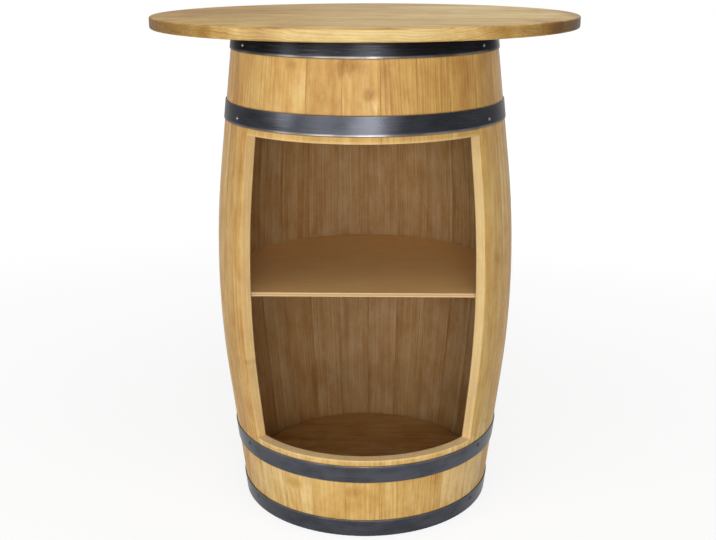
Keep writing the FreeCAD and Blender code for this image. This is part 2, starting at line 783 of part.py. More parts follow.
parts = [full_stave(number) for number in range(CUT_STAVES, STAVES)]
for number in range(CUT_STAVES):
    parts.append(short_stave("upper", UPPER_END, "derived.window_top_inset", number))
    parts.append(short_stave("lower", LOWER_END, "derived.sill_height", number))
parts.extend(hoop(label, end, inset) for label, (end, inset) in HOOPS.items())
parts.append(group("hoop_nails", hoop_nails()))
parts.append(group("hoop_rivets", hoop_rivets()))
for number in range(HEAD_BOARDS):
    lower_board = head_board(f"lower_head_board_{number + 1}", LOWER_END, number)
    # The upper head is turned over, so its boards count from the other side.
    turned_number = HEAD_BOARDS - 1 - number
    upper_board = head_board(f"upper_head_board_{number + 1}", UPPER_END, turned_number)
    bore_for_screws(upper_board, turned_number)
    parts.extend([lower_board, upper_board])
parts.append(group("head_dowels", head_dowels()))
parts.extend(table_board(number) for number in range(TABLE_BOARDS))
parts.append(batten("left_table_batten", -1))
parts.append(batten("right_table_batten", 1))
parts.append(group("table_screws", table_screws()))
parts.append(shelf())
parts.extend(cleat(label, stave) for label, stave in CLEATS.items())
parts.append(group("cleat_screws", cleat_screws()))

doc.recompute()


# ---------------------------------------------------------------- checks and export

for item in doc.Objects:
    if "Invalid" in item.State or "Error" in item.State:
        raise RuntimeError(f"{item.Label} failed: {item.State}")
for part in parts:
    if part.Shape.isNull() or not part.Shape.isValid():
        raise RuntimeError(f"{part.Label} has no valid shape")
    if any(len(solid.Shells) != 1 for solid in part.Shape.Solids):
        raise RuntimeError(f"{part.Label} has a hole that doesn't reach its surface")

os.makedirs("parts", exist_ok=True)
for part in parts:
    part.Shape.exportStep(f"parts/{part.Label}.step")
print(f"{len(parts)} sub-parts, {sum(len(part.Shape.Solids) for part in parts)} solids")
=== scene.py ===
"""Looks of the barrel bar cabinet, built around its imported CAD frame, in metres."""
import math
import random

import bpy
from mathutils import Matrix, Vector


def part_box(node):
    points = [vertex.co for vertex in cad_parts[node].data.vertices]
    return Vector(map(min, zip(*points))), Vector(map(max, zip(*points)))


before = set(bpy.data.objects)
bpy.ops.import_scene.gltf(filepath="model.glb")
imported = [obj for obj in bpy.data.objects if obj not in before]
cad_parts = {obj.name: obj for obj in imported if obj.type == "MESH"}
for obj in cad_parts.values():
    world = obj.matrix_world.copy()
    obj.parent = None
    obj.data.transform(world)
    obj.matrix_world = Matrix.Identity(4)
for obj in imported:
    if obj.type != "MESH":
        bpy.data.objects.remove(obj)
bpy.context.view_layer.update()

# ---------------------------------------------------------------- sizes that the CAD has

STAVE_COUNT = 25
CUT_STAVES = 7
STAVE_ANGLE = 2 * math.pi / STAVE_COUNT
STAVE_THICKNESS = 0.017
BELLY_RADIUS = 0.2475
BELLY_HEIGHT = 0.400
BEND_HALF = 0.181         # the stave is bent this far above and below its belly
BEND_RADIUS = 1.552
END_SLOPE = 0.1174        # and straight beyond, leaning in this much
WINDOW_BOTTOM = 0.1433
WINDOW_TOP = 0.6467
HOOPS = [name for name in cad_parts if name.endswith("hoop")]
HOOP_EDGES = [[corner[2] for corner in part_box(name)] for name in HOOPS]
TABLE_TOP = 0.818
SHELF_TOP = 0.3935
SHELF_THICKNESS = 0.0065
SHELF_PLY = 0.0018        # thickness of the shelf's outer plies

# ---------------------------------------------------------------- the photograph's camera

CAMERA_AZIMUTH = 1.4      # degrees from the front towards +X
CAMERA_DISTANCE = 1.7722  # from the barrel's axis
CAMERA_HEIGHT = 0.919
CAMERA_PITCH = 16.63      # degrees down
CAMERA_ROLL = -0.11       # degrees
CAMERA_LENS = 54.24       # mm
CAMERA_SENSOR = 36        # mm wide
CAMERA_SHIFT = -0.0101    # of the image's width


def around(azimuth, distance, height):
    """A place at an azimuth in degrees, a distance from the barrel's axis and a height."""
    turn = math.radians(azimuth)
    return (distance * math.sin(turn), -distance * math.cos(turn), height)


def make_camera():
    data = bpy.data.cameras.new("camera")
    data.sensor_width = CAMERA_SENSOR
    data.lens = CAMERA_LENS
    data.shift_x = CAMERA_SHIFT
    camera = bpy.data.objects.new("camera", data)
    camera.location = around(CAMERA_AZIMUTH, CAMERA_DISTANCE, CAMERA_HEIGHT)
    camera.rotation_euler = (math.radians(90 - CAMERA_PITCH), 0, math.radians(CAMERA_AZIMUTH))
    camera.rotation_euler.rotate_axis("Z", math.radians(CAMERA_ROLL))
    bpy.context.scene.collection.objects.link(camera)
    bpy.context.scene.camera = camera


# ---------------------------------------------------------------- material nodes

def srgb(red, green, blue):
    """A colour given as the photograph's values, 0 to 255."""
    def linear(value):
        value /= 255
        return value / 12.92 if value <= 0.04045 else ((value + 0.055) / 1.055) ** 2.4
    return (linear(red), linear(green), linear(blue), 1)


class Nodes:
    """A new material whose nodes are written as formulas."""

    def __init__(self, name):
        self.material = bpy.data.materials.new(name)
        self.material.use_nodes = True
        self.tree = self.material.node_tree
        self.tree.nodes.clear()
        self.shader = self.add("ShaderNodeBsdfPrincipled")
        output = self.add("ShaderNodeOutputMaterial")
        self.tree.links.new(self.shader.outputs[0], output.inputs["Surface"])

    def add(self, kind, **settings):
        node = self.tree.nodes.new(kind)
        for name, value in settings.items():
            setattr(node, name, value)
        return node

    def feed(self, socket, value):
        if isinstance(value, bpy.types.NodeSocket):
            self.tree.links.new(value, socket)
        else:
            socket.default_value = value

    def math(self, operation, *values):
        node = self.add("ShaderNodeMath", operation=operation)
        for socket, value in zip(node.inputs, values):
            self.feed(socket, value)
        return node.outputs[0]

    def plus(self, a, b):
        return self.math("ADD", a, b)

    def minus(self, a, b):
        return self.math("SUBTRACT", a, b)

    def times(self, a, b):
        return self.math("MULTIPLY", a, b)

    def over(self, a, b):
        return self.math("DIVIDE", a, b)

    def step(self, value, start, end, low=0.0, high=1.0):
        """A smooth step of value from low at start to high at end."""
        node = self.add("ShaderNodeMapRange", interpolation_type="SMOOTHSTEP")
        for number, given in enumerate((value, start, end, low, high)):
            self.feed(node.inputs[number], given)
        return node.outputs[0]

    def place(self):
        return self.add("ShaderNodeTexCoord").outputs["Object"]

    def split(self, vector):
        node = self.add("ShaderNodeSeparateXYZ")
        self.feed(node.inputs[0], vector)
        return node.outputs

    def join(self, x, y, z):
        node = self.add("ShaderNodeCombineXYZ")
        for socket, value in zip(node.inputs, (x, y, z)):
            self.feed(socket, value)
        return node.outputs[0]

    def dot(self, vector, direction):
        node = self.add("ShaderNodeVectorMath", operation="DOT_PRODUCT")
        self.feed(node.inputs[0], vector)
        node.inputs[1].default_value = direction
        return node.outputs["Value"]

    def noise(self, vector, size, shift=0.0, detail=2.0, roughness=0.5):
        """Noise from 0 to 1 whose grains are about as big as size, in metres."""
        stretch = self.add("ShaderNodeMapping")
        self.feed(stretch.inputs["Vector"], vector)
        stretch.inputs["Scale"].default_value = [1 / each for each in size]
        stretch.inputs["Location"].default_value = (shift, 1.7 * shift, -0.6 * shift)
        node = self.add("ShaderNodeTexNoise", noise_dimensions="3D")
        self.feed(node.inputs["Vector"], stretch.outputs[0])
        node.inputs["Scale"].default_value = 1
        node.inputs["Detail"].default_value = detail
        node.inputs["Roughness"].default_value = roughness
        return node.outputs["Fac"]

    def swing(self, noise, amount):
        """The noise, made to swing by half the amount to either side of 0."""
        return self.times(self.minus(noise, 0.5), amount)

    def mix(self, share, first, second, blend="MIX"):
        node = self.add("ShaderNodeMix", data_type="RGBA", blend_type=blend)
        self.feed(node.inputs[0], share)
        self.feed(node.inputs[6], first)
        self.feed(node.inputs[7], second)
        return node.outputs[2]

    def multiplied(self, first, second):
        """One colour times another."""
        return self.mix(1.0, first, second, blend="MULTIPLY")

    def ramp(self, value, *stops):
        """A colour for value, from (position, colour) stops."""
        node = self.add("ShaderNodeValToRGB")
        self.feed(node.inputs[0], value)
        elements = node.color_ramp.elements
        while len(elements) < len(stops):
            elements.new(0.5)
        for element, (position, colour) in zip(elements, stops):
            element.position = position
            element.color = colour
        return node.outputs[0]

    def normal(self):
        """The surface's own direction, in the object's axes."""
        return self.add("ShaderNodeTexCoord").outputs["Normal"]

    def bump(self, height, distance, strength):
        node = self.add("ShaderNodeBump")
        node.inputs["Strength"].default_value = strength
        node.inputs["Distance"].default_value = distance
        self.feed(node.inputs["Height"], height)
        self.tree.links.new(node.outputs[0], self.shader.inputs["Normal"])

    def set(self, **values):
        for name, value in values.items():
            self.feed(self.shader.inputs[name.replace("_", " ")], value)


# ---------------------------------------------------------------- wood

WHITE = (1, 1, 1, 1)
LIGHT_WOOD = srgb(239, 207, 144)
WOOD = srgb(217, 177, 104)
DARK_WOOD = srgb(176, 130, 66)
ORANGE_WOOD = srgb(232, 164, 92)
# darker end grain of the table's boards, deepened by painted shade
END_GRAIN_AND_SHADE = srgb(160, 142, 90)
CUT_END_WOOD = srgb(206, 182, 148)
SAWN_WOOD = srgb(240, 214, 160)
# brown for the dirt in the joints, and for the painted shade beside the hoops
JOINT_DIRT_AND_HOOP_SHADE = srgb(112, 76, 40)
INSIDE_WOOD = srgb(190, 186, 206)
OUTER_PLY, OUTER_PLY_DARK = srgb(228, 197, 148), srgb(216, 182, 132)
CORE_PLY, CORE_PLY_PALE = srgb(188, 150, 102), srgb(204, 170, 126)
TOP_TINT = srgb(251, 253, 232)
FRONT_TINT = srgb(244, 252, 255)
# painted shade for the table's right-hand end, turned away from the light
RIGHT_END_PAINTED_SHADE = srgb(136, 140, 126)

# sizes in metres, shift, detail and roughness of the noises that make up a board's grain
GRAIN_NOISES = {
    "wander": ((0.05, 0.05, 0.32), 0, 2, 0.5),
    "waver": ((0.012, 0.012, 0.09), 3, 2, 0.5),
    "streak": ((0.0045, 0.0045, 0.22), 7, 3, 0.6),
    "fibre": ((0.0009, 0.0009, 0.03), 11, 2, 0.6),
    "blotch": ((0.024, 0.024, 0.05), 17, 3, 0.55),
    "curl": ((0.008, 0.008, 0.010), 19, 2, 0.6),
    "pore": ((0.0007, 0.0007, 0.009), 23, 1, 0.5),
}
RING_SWAY = {"wander": 0.030, "waver": 0.005}     # how far the rings run out of round
TONE_SWING = {"streak": 0.62, "fibre": 0.26, "blotch": 0.60, "curl": 0.22}
STAIN_SWAY = {"streak": 2.4, "curl": 1.4}         # how ragged the edge of a stain is
MEAN_TONE = 0.36
RING_DARKNESS = 0.40
PORE_DARKNESS = 0.12
GRAIN_RELIEF = 0.0004

# where each kind of board's seeds start; those of the full staves are 1 to 18
SHELF_SEED, SHORT_STAVE_SEED, TABLE_SEED, INNER_SEED = 91, 100, 300, 400


class Cut:
    """How one board was sawn: where the log's heart lay, and its own chance details.

    A stain is (across, along, half its width, half its height, amount), and a negative
    amount is a paler patch. sawn is how much paler a jamb of the window is."""

    def __init__(self, seed, heart=None, spacing=None, rings=None, tone=None, orange=None,
                 stains=(), sawn=0.5):
        chance = random.Random(seed)
        self.shift = chance.uniform(-50, 50)
        side = chance.choice((-1, 1))
        flat = (side * chance.uniform(0.0, 0.03), chance.uniform(0.04, 0.09))
        quarter = (side * chance.uniform(0.09, 0.16), chance.uniform(0.0, 0.04))
        self.heart = heart or chance.choice((flat, quarter, quarter))
        self.spacing = spacing or chance.uniform(0.0040, 0.0068)
        self.rings = chance.uniform(0.5, 1.0) if rings is None else rings
        self.tone = chance.uniform(-0.10, 0.10) if tone is None else tone
        self.orange = chance.uniform(0.0, 0.30) if orange is None else orange
        self.stains = stains
        self.sawn = sawn


def distance(nodes, across, along, middle, stretch=(1, 1)):
    """How far a point is from a middle, in units of stretch."""
    sides = (nodes.over(nodes.minus(across, middle[0]), stretch[0]),
             nodes.over(nodes.minus(along, middle[1]), stretch[1]))
    squares = [nodes.times(side, side) for side in sides]
    return nodes.math("SQRT", nodes.plus(*squares))


def late_wood(nodes, reach, cut):
    """The dark, narrow part of each growth ring, from 0 to 1, at a reach from the heart."""
    turns = nodes.over(reach, cut.spacing)
    number = nodes.math("FLOOR", turns)
    part = nodes.minus(turns, number)
    late = nodes.times(nodes.math("POWER", part, 2.2), nodes.step(part, 0.88, 1.0, 1, 0))
    per_ring = nodes.noise(nodes.join(number, 0.0, cut.shift), (1.9, 1, 1), detail=0)
    return nodes.times(late, nodes.step(per_ring, 0.25, 0.75, 0.25, 1.0))


def grain(nodes, across, depth, along, cut):
    """Growth rings, streaks and fibres of a board. Returns its tone, 0 light to 1 dark, the
    height for its bump, and its blotches and streaks."""
    here = nodes.join(across, depth, along)
    noise = {name: nodes.noise(here, size, cut.shift + shift, detail, roughness)
             for name, (size, shift, detail, roughness) in GRAIN_NOISES.items()}
    reach = distance(nodes, across, depth, cut.heart)
    for name, amount in RING_SWAY.items():
        reach = nodes.plus(reach, nodes.swing(noise[name], amount))
    late = late_wood(nodes, reach, cut)
    pore = nodes.step(noise["pore"], 0.68, 0.78)

    tone = nodes.plus(MEAN_TONE + cut.tone, nodes.times(late, RING_DARKNESS * cut.rings))
    for name, amount in TONE_SWING.items():
        tone = nodes.plus(tone, nodes.swing(noise[name], amount))
    tone = nodes.plus(tone, nodes.times(pore, PORE_DARKNESS))
    for across_stain, along_stain, half_width, half_height, amount in cut.stains:
        middle, spread = (across_stain, along_stain), (half_width, half_height)
        off = distance(nodes, across, along, middle, spread)
        for name, sway in STAIN_SWAY.items():
            off = nodes.plus(off, nodes.swing(noise[name], sway))
        tone = nodes.plus(tone, nodes.step(off, 0.2, 1.4, amount, 0))

    height = nodes.minus(nodes.times(noise["fibre"], 0.5), nodes.times(late, 0.35))
    height = nodes.minus(height, nodes.times(pore, 0.6))
    return tone, height, noise["blotch"], noise["streak"]


def board_colour(nodes, across, depth, along, cut):
    """The colour and bump height of oiled, stained softwood, and its streaks."""
    tone, height, blotch, streak = grain(nodes, across, depth, along, cut)
    colour = nodes.ramp(tone, (0.08, LIGHT_WOOD), (0.42, WOOD), (0.95, DARK_WOOD))
    orange = nodes.step(nodes.plus(blotch, nodes.times(streak, 0.5)), 0.60, 1.05, 0.0, 0.8)
    orange = nodes.math("MINIMUM", nodes.plus(nodes.times(orange, 0.5), cut.orange), 0.8)
    warm = nodes.multiplied(colour, nodes.mix(0.5, WHITE, ORANGE_WOOD))
    return nodes.mix(orange, colour, warm), height, streak


def tinted(nodes, share, colour, tint):
    """The colour, multiplied by a tint where share is 1."""
    return nodes.mix(share, colour, nodes.multiplied(colour, tint))


def finish_wood(nodes, colour, height, streak, roughness=0.46, gloss=0.14):
    nodes.set(Base_Color=colour)
    nodes.set(Roughness=nodes.step(streak, 0.25, 0.75, roughness - 0.06, roughness + 0.08))
    nodes.shader.inputs["Specular IOR Level"].default_value = gloss
    nodes.bump(height, GRAIN_RELIEF, 0.7)


def wall_radius(nodes, up):
    """The radius of the barrel's outside at a height."""
    off = nodes.math("ABSOLUTE", nodes.minus(up, BELLY_HEIGHT))
    bent = nodes.math("MINIMUM", off, BEND_HALF)
    drop = nodes.over(nodes.times(bent, bent), 2 * BEND_RADIUS)
    drop = nodes.plus(drop, nodes.times(nodes.minus(off, bent), END_SLOPE))
    return nodes.minus(BELLY_RADIUS, drop)


END_STAIN = 0.5           # shares of the looks that lie over the grain
EDGE_RUB = 0.45
INSIDE_DARKENING, INNER_PART_DARKENING = 0.95, 0.7
RUB_REACH = 0.006         # how far the pale rub reaches from the window's edges
JAMB_EASE = 0.001         # over how much of the height a jamb's looks come in
DARK_INSIDE_START, DARK_INSIDE_FULL = 0.0016, 0.0006      # depths short of the wall's inside
JOINT_DIRT_REACH = (0.0001, 0.0008)           # where the dirt starts to fade and is gone
# where the painted shade beside a hoop starts to fade and is gone
HOOP_SHADE_REACH = (0.0003, 0.0019)


def beyond(nodes, value, edge, softness, side=1):
    """1 where value is past an edge, or short of it where side is -1."""
    ends = (1, 0) if side < 0 else (0, 1)
    return nodes.step(value, edge - softness, edge + softness, *ends)


def joint_dirt(nodes, place, turn, radius, in_window, open_side, cut):
    """The share of dirt at a stave's edges, but not along the window."""
    left = nodes.plus(turn, STAVE_ANGLE / 2)
    right = nodes.minus(STAVE_ANGLE / 2, turn)
    if open_side < 0:
        left = nodes.plus(left, in_window)
    if open_side > 0:
        right = nodes.plus(right, in_window)
    gap = nodes.times(nodes.math("MINIMUM", left, right), radius)
    patches = nodes.noise(place, (0.004, 0.004, 0.03), cut.shift + 31, detail=1)
    return nodes.times(nodes.step(gap, *JOINT_DIRT_REACH, 1, 0),
                       nodes.step(patches, 0.35, 0.65, 0.05, 0.32))


def hoop_edge_shade(nodes, up, depth, low, high):
    """The share of painted shade beside a hoop, where its edge would shade the wood, on the
    outside of the wall only.
    """
    off = nodes.math("ABSOLUTE", nodes.minus(up, (low + high) / 2))
    off = nodes.minus(off, (high - low) / 2)
    return nodes.times(nodes.step(off, *HOOP_SHADE_REACH, 0.50, 0),
                       nodes.step(depth, 0.001, 0.003, 1, 0))


def stave_wood(name, azimuth, cut, open_side=0, short=False):
    """A stave whose middle is at azimuth, from the front towards +X. open_side is -1 or 1
    where its left or right edge is a jamb of the window, and short is for the staves above
    and below it."""
    nodes = Nodes(name)
    place = nodes.place()
    sine, cosine = math.sin(azimuth), math.cos(azimuth)
    across = nodes.dot(place, (cosine, sine, 0))
    outward = nodes.dot(place, (sine, -cosine, 0))
    up = nodes.split(place)[2]
    radius = distance(nodes, across, outward, (0, 0))
    depth = nodes.minus(wall_radius(nodes, up), radius)
    colour, height, streak = board_colour(nodes, across, depth, up, cut)

    # the sawn ends drink more of the stain
    end = nodes.math("ABSOLUTE", nodes.split(nodes.normal())[2])
    colour = nodes.mix(nodes.step(end, 0.6, 0.9, 0, END_STAIN), colour, CUT_END_WOOD)

    # the window's edges are rubbed pale
    if short:
        off = nodes.math("MINIMUM", nodes.math("ABSOLUTE", nodes.minus(up, WINDOW_TOP)),
                         nodes.math("ABSOLUTE", nodes.minus(up, WINDOW_BOTTOM)))
        colour = nodes.mix(nodes.step(off, 0, RUB_REACH, EDGE_RUB, 0), colour, SAWN_WOOD)

    turn = nodes.math("ARCTAN2", across, outward)
    in_window = nodes.times(beyond(nodes, up, WINDOW_BOTTOM, JAMB_EASE),
                            beyond(nodes, up, WINDOW_TOP, JAMB_EASE, -1))
    dirt = joint_dirt(nodes, place, turn, radius, in_window, open_side, cut)
    colour = nodes.mix(dirt, colour, JOINT_DIRT_AND_HOOP_SHADE)
    # painted shade along the edges of the hoops
    for low, high in HOOP_EDGES:
        colour = nodes.mix(hoop_edge_shade(nodes, up, depth, low, high), colour, JOINT_DIRT_AND_HOOP_SHADE)

    # the jamb was sawn after the staining and is paler
    if open_side:
        facing = nodes.times(nodes.dot(nodes.normal(), (cosine, sine, 0)), open_side)
        jamb = nodes.times(nodes.step(facing, 0.5, 0.8), in_window)
        colour = nodes.mix(jamb, colour, nodes.mix(cut.sawn, colour, SAWN_WOOD))

    # the inside is darker
    inside = nodes.step(depth, STAVE_THICKNESS - DARK_INSIDE_START, STAVE_THICKNESS - DARK_INSIDE_FULL)
    colour = tinted(nodes, nodes.times(inside, INSIDE_DARKENING), colour, INSIDE_WOOD)
    finish_wood(nodes, colour, height, streak)
    return nodes.material


def table_wood(name, middle, joints, cut):
    """A board of the table top, with its grain along X."""
    nodes = Nodes(name)
    place = nodes.place()
    x, y, z = nodes.split(place)
    colour, height, streak = board_colour(
        nodes, nodes.minus(y, middle), nodes.minus(TABLE_TOP, z), x, cut)
    right, side, top = nodes.split(nodes.normal())
    end = nodes.math("ABSOLUTE", right)
    # the boards' ends: darker end grain, deepened by painted shade
    colour = tinted(nodes, nodes.step(end, 0.25, 1.0), colour, END_GRAIN_AND_SHADE)
    # painted shade on the right-hand end, turned away from the light
    colour = tinted(nodes, nodes.step(right, 0.75, 1.0), colour, RIGHT_END_PAINTED_SHADE)
    side = nodes.step(nodes.math("ABSOLUTE", side), 0.80, 1.0)
    colour = nodes.mix(nodes.times(side, 0.30), colour, SAWN_WOOD)
    colour = tinted(nodes, side, colour, FRONT_TINT)
    for joint in joints:
        gap = nodes.math("ABSOLUTE", nodes.minus(y, joint))
        colour = nodes.mix(nodes.step(gap, *JOINT_DIRT_REACH, 0.3, 0), colour, JOINT_DIRT_AND_HOOP_SHADE)
    colour = tinted(nodes, nodes.step(top, 0.5, 0.9), colour, TOP_TINT)
    finish_wood(nodes, colour, height, streak, roughness=0.50, gloss=0.12)
    return nodes.material


def inner_wood(name, axis, cut):
    """Heads, battens, cleats and dowels: the same wood, seen only in the dark. Its grain is
    along X where axis is 0, and along Y where it is 1."""
    nodes = Nodes(name)
    x, y, z = nodes.split(nodes.place())
    across, along = ((y, x), (x, y))[axis]
    depth = nodes.minus(z, sum(corner[2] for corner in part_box(name)) / 2)
    colour, height, streak = board_colour(nodes, across, depth, along, cut)
    colour = tinted(nodes, INNER_PART_DARKENING, colour, INSIDE_WOOD)
    finish_wood(nodes, colour, height, streak, roughness=0.55)
    return nodes.material


def shelf_plywood(name):
    """Birch plywood: stained faces with the grain along X, and a bare edge of three plies."""
    nodes = Nodes(name)
    place = nodes.place()
    x, y, z = nodes.split(place)
    cut = Cut(SHELF_SEED, heart=(0.02, 0.035), spacing=0.009, rings=0.8, tone=-0.58, orange=0.62)
    colour, height, streak = board_colour(nodes, y, nodes.minus(SHELF_TOP, z), x, cut)
    face = nodes.mix(0.10, colour, SAWN_WOOD)
    low, high = SHELF_TOP - SHELF_THICKNESS + SHELF_PLY, SHELF_TOP - SHELF_PLY
    core = nodes.times(beyond(nodes, z, low, 0.0002), beyond(nodes, z, high, 0.0002, -1))
    speck = nodes.noise(place, (0.0012, 0.0012, 0.0006), 5, detail=2)
    edge = nodes.mix(core, nodes.mix(speck, OUTER_PLY, OUTER_PLY_DARK),
                     nodes.mix(speck, CORE_PLY, CORE_PLY_PALE))
    flat = nodes.step(nodes.math("ABSOLUTE", nodes.split(nodes.normal())[2]), 0.4, 0.8)
    finish_wood(nodes, nodes.mix(flat, edge, face), height, streak, roughness=0.4)
    return nodes.material


# ---------------------------------------------------------------- steel

HOOP_STEEL = srgb(76, 78, 85)
HOOP_DARK = srgb(63, 65, 71)
BARE_STEEL = srgb(212, 206, 198)
FASTENER = srgb(132, 132, 136)
FASTENER_DULL = srgb(96, 96, 102)
HOOP_RUB_REACH = (0.0012, 0.0046)  # from a hoop's rim, where the rub starts to fade and is gone
HOOP_SCUFF_REACH = (0.0004, 0.0014)
HOOP_ROUGHNESS = (0.26, 0.32)
FASTENER_ROUGHNESS = (0.28, 0.42)


def hoop_steel(name, seed, painted_light_level, worn, slant=0.8):
    """Blue-black steel strip. Its colour is scaled by a level for each hoop, as painted shade and
    painted light on its reflections, far darker on the upper hoops. The rim nearer to the belly,
    which stands out most, is rubbed bright by as much as worn says. slant is how bright the
    steel looks at a slant, turned down on the upper hoops as painted shade."""
    nodes = Nodes(name)
    place = nodes.place()
    z = nodes.split(place)[2]
    low, high = (corner[2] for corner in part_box(name))
    brush = nodes.noise(place, (0.05, 0.05, 0.0007), seed, detail=2, roughness=0.55)
    cloud = nodes.noise(place, (0.04, 0.04, 0.02), seed + 5, detail=2)
    colour = nodes.mix(nodes.step(cloud, 0.3, 0.7), HOOP_DARK, HOOP_STEEL)
    # painted shade and painted light on the steel's reflections, one level for each hoop
    colour = nodes.multiplied(colour, (painted_light_level, painted_light_level, painted_light_level, 1))
    colour = nodes.mix(nodes.step(brush, 0.5, 0.9, 0, 0.08), colour, BARE_STEEL)
    patch = nodes.noise(place, (0.05, 0.05, 1), seed + 9, detail=2)
    rim, other = nodes.minus(z, low), nodes.minus(high, z)
    if low < BELLY_HEIGHT:
        rim, other = other, rim
    ragged = nodes.times(nodes.minus(brush, 0.5), 0.0012)
    rub = nodes.step(nodes.plus(rim, ragged), *HOOP_RUB_REACH, 1, 0)
    rub = nodes.times(rub, nodes.step(patch, 0.38, 0.62, 0.5 * worn, worn))
    scuff = nodes.step(nodes.plus(other, ragged), *HOOP_SCUFF_REACH, 0.4 * worn, 0)
    colour = nodes.mix(nodes.math("MAXIMUM", rub, scuff), colour, BARE_STEEL)
    rough = nodes.step(cloud, 0.3, 0.7, *HOOP_ROUGHNESS)
    rough = nodes.plus(rough, nodes.step(brush, 0.3, 0.7, 0, 0.05))
    nodes.set(Base_Color=colour, Roughness=rough)
    nodes.shader.inputs["Metallic"].default_value = 0.95
    nodes.shader.inputs["Specular Tint"].default_value = (slant, slant, slant, 1)
    nodes.bump(nodes.plus(brush, nodes.times(cloud, 0.8)), 0.0001, 0.25)
    return nodes.material


def fastener_steel(name, seed):
    """Zinc-plated steel, dulled by handling, and darker below the belly."""
    nodes = Nodes(name)
    place = nodes.place()
    cloud = nodes.noise(place, (0.002, 0.002, 0.002), seed, detail=3)
    colour = nodes.mix(nodes.step(cloud, 0.35, 0.7), FASTENER, FASTENER_DULL)
    low = nodes.step(nodes.split(place)[2], BELLY_HEIGHT - 0.1, BELLY_HEIGHT, 0.85, 0)
    colour = nodes.mix(low, colour, HOOP_DARK)
    nodes.set(Base_Color=colour, Roughness=nodes.step(cloud, 0.3, 0.7, *FASTENER_ROUGHNESS))
    nodes.shader.inputs["Metallic"].default_value = 1.0
    nodes.bump(cloud, 0.0001, 0.4)
    return nodes.material


# ---------------------------------------------------------------- dressing the CAD nodes

FULL_STAVES = STAVE_COUNT - CUT_STAVES
FIRST_FULL = STAVE_ANGLE * (CUT_STAVES + 1) / 2      # the right jamb stave
FIRST_CUT = -STAVE_ANGLE * (CUT_STAVES - 1) / 2      # the cut stave at the left

# where the log's heart lay, across and deep, for flat-sawn and quarter-sawn boards
FLAT, QUARTER_LEFT, QUARTER_RIGHT = (0.006, 0.055), (-0.12, 0.02), (0.13, 0.015)


def painted_shade_above_window(amount, half_height=0.110):
    """Painted shade over the whole width of a stave, round the wood above the window, given as a
    stain that darkens it.
    """
    return (0.0, 0.725, 0.05, half_height, amount)


def painted_light_below_window(amount, half_height=0.080):
    """Painted light over the whole width of a stave, round the wood below the window, given as a
    stain that makes it paler.
    """
    return (0.0, 0.080, 0.05, half_height, amount)


def table_stain_and_painted_light(along, half_length, amount):
    """A band over the whole width of a board of the table, used for stains, for painted shade and
    for a painted sheen.
    """
    return (0.0, along, 0.20, half_length, amount)


# the wide bands above and below the window are painted shade above it and painted light below it
CUT_STAVE_LOOKS = {
    1: dict(heart=QUARTER_LEFT, spacing=0.0052, rings=0.8, tone=0.0, orange=0.0,
            stains=(painted_light_below_window(-0.16),)),
    2: dict(heart=FLAT, spacing=0.0062, rings=0.5, tone=0.0, orange=0.06,
            stains=((0.002, 0.757, 0.010, 0.010, 0.35), (-0.009, 0.085, 0.016, 0.010, 0.30),
                    painted_light_below_window(-0.14))),
    3: dict(heart=(-0.02, 0.07), spacing=0.0060, rings=0.45, tone=0.0, orange=0.06,
            stains=((0.026, 0.755, 0.008, 0.014, 0.35), (0.0, 0.712, 0.012, 0.012, 0.15),
                    painted_shade_above_window(0.26))),
    4: dict(heart=(0.004, 0.045), spacing=0.0055, rings=0.6, tone=0.02, orange=0.08,
            stains=((-0.014, 0.757, 0.016, 0.013, 0.45), (0.012, 0.716, 0.010, 0.008, 0.35),
                    (0.021, 0.706, 0.007, 0.012, -0.35), (-0.012, 0.085, 0.018, 0.010, 0.25),
                    painted_shade_above_window(0.12))),
    5: dict(heart=QUARTER_RIGHT, spacing=0.0062, rings=1.1, tone=0.02, orange=0.0,
            stains=((-0.020, 0.755, 0.008, 0.016, 0.20), painted_shade_above_window(0.18))),
    6: dict(heart=QUARTER_RIGHT, spacing=0.0044, rings=1.1, tone=0.0, orange=0.05,
            stains=(painted_shade_above_window(0.24),)),
    7: dict(heart=QUARTER_LEFT, spacing=0.0050, rings=0.9, tone=-0.05, orange=0.12,
            stains=((0.004, 0.757, 0.012, 0.012, 0.12), painted_shade_above_window(0.30),
                    painted_light_below_window(-0.22))),
}
FULL_STAVE_LOOKS = {
    1: dict(heart=(0.14, 0.01), spacing=0.0046, rings=0.5, tone=0.06, orange=0.0, sawn=0.56,
            stains=((-0.031, 0.625, 0.004, 0.020, 0.40), (0.006, 0.450, 0.012, 0.016, 0.20),
                    painted_shade_above_window(0.22, 0.070), painted_light_below_window(-0.38, 0.070))),
    18: dict(heart=(-0.012, 0.045), spacing=0.0050, rings=0.75, tone=0.03, orange=0.30, sawn=0.40,
             stains=((0.018, 0.580, 0.005, 0.030, 0.25), (0.028, 0.279, 0.004, 0.005, 0.45),
                     painted_light_below_window(-0.28, 0.070))),
}
# each hoop's level is painted shade and painted light on its reflections, darkest on the upper
# hoops, and their lower slant is painted shade at their edges
HOOP_LOOKS = {
    "upper_head_hoop": dict(painted_light_level=0.15, worn=0.20, slant=0.47),
    "upper_quarter_hoop": dict(painted_light_level=0.43, worn=0.26, slant=0.6),
    "lower_quarter_hoop": dict(painted_light_level=1.15, worn=0.08),
    "lower_head_hoop": dict(painted_light_level=0.88, worn=0.06),
}

